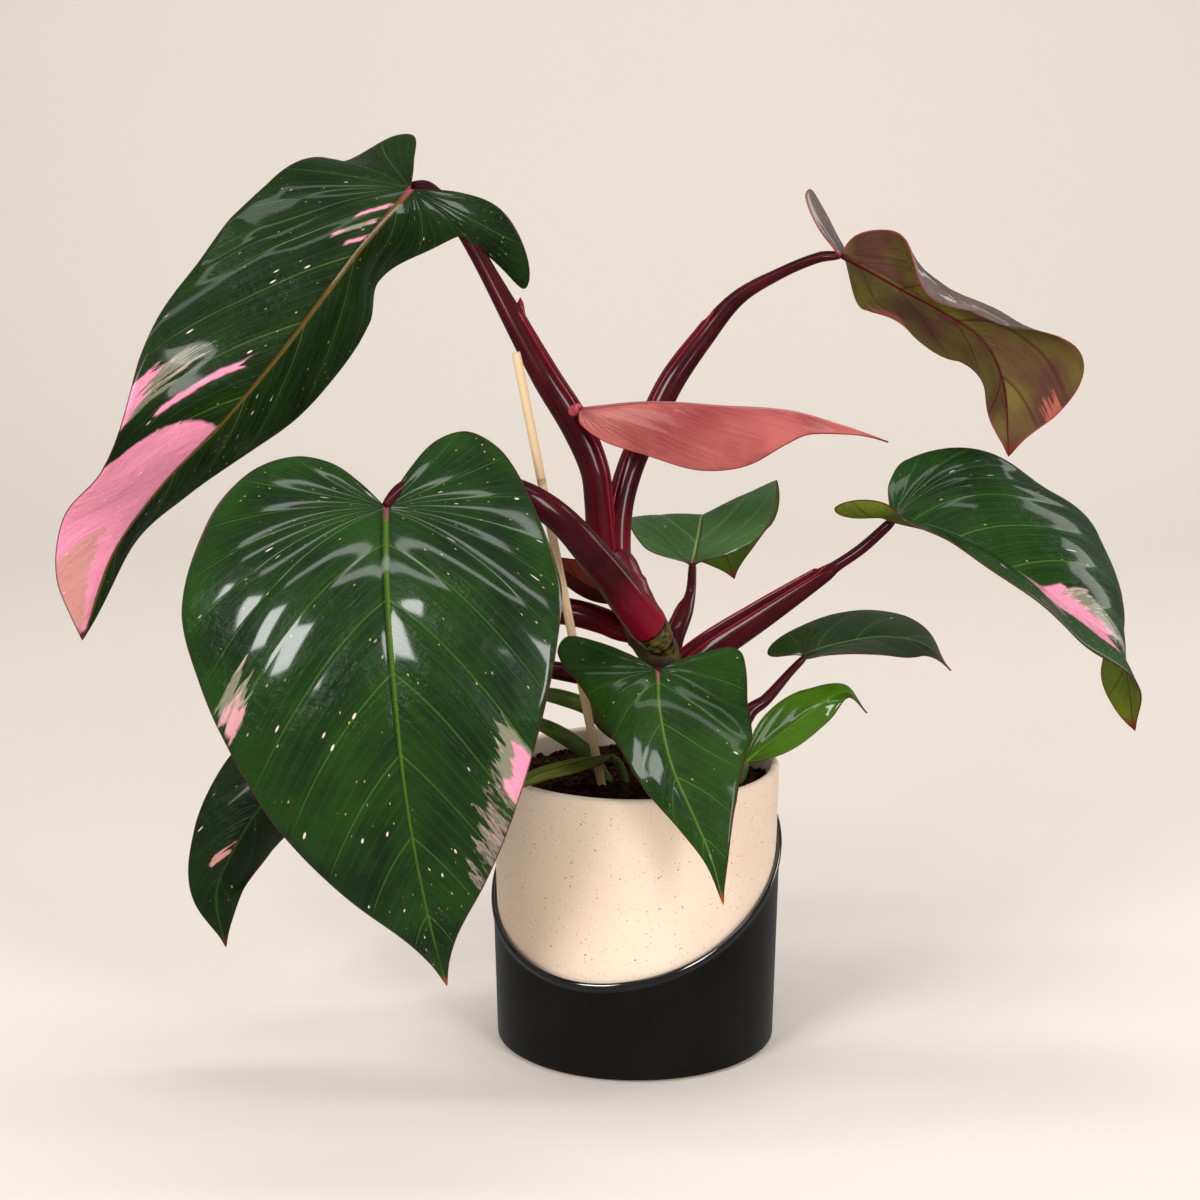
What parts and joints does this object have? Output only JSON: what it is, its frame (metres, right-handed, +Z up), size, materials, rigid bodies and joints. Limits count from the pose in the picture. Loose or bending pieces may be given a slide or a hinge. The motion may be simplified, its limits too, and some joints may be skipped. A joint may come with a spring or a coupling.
{
  "type": "potted philodendron",
  "caption": "Variegated philodendron with glossy heart-shaped leaves on maroon stalks, held by a bamboo stake in a stoneware pot with a slanted black dip.",
  "frame": {"origin": "centre of the flat underside of the pot, on the surface it stands on", "axes": "+Z up along the pot axis; the largest leaf and most upper faces look towards -Y; +X is to the right seen from there"},
  "size_m": [0.482, 0.2264, 0.4087],
  "materials": {
    "stoneware": "matte speckled stoneware",
    "dip": "glossy black glaze",
    "soil": "crumbly potting soil",
    "bamboo": "bare bamboo",
    "leaf_green": "glossy variegated leaf",
    "leaf_bronze": "satin leaf underside",
    "leaf_pink": "satin new leaf",
    "leaf_fresh": "satin young leaf",
    "sheath": "dry bract",
    "stalk": "glossy maroon stalk",
    "stalk_fresh": "satin green stalk"
  },
  "bodies": {
    "root": {"pot": "stoneware", "dip_glaze": "dip", "soil": "soil", "bamboo_stake": "bamboo", "front_blade": "leaf_green", "upper_left_blade": "leaf_green", "upper_right_blade": "leaf_bronze", "new_pink_blade": "leaf_pink", "right_blade": "leaf_green", "back_blade": "leaf_green", "mid_right_blade": "leaf_green", "low_right_blade": "leaf_fresh", "low_front_blade": "leaf_green", "lower_left_blade": "leaf_green", "rim_left_blade": "leaf_fresh", "dry_bract_blade": "sheath", "main_stem": "stalk", "front_petiole": "stalk", "upper_left_petiole": "stalk", "upper_right_petiole": "stalk", "right_petiole": "stalk", "back_petiole": "stalk", "mid_right_petiole": "stalk", "low_right_petiole": "stalk_fresh", "low_front_petiole": "stalk", "lower_left_petiole": "stalk", "old_petiole": "stalk", "rim_left_petiole": "stalk_fresh", "old_sheath_upper": "stalk_fresh", "old_sheath_lower": "stalk_fresh", "new_pink_petiole": "leaf_pink"}
  },
  "joints": []
}
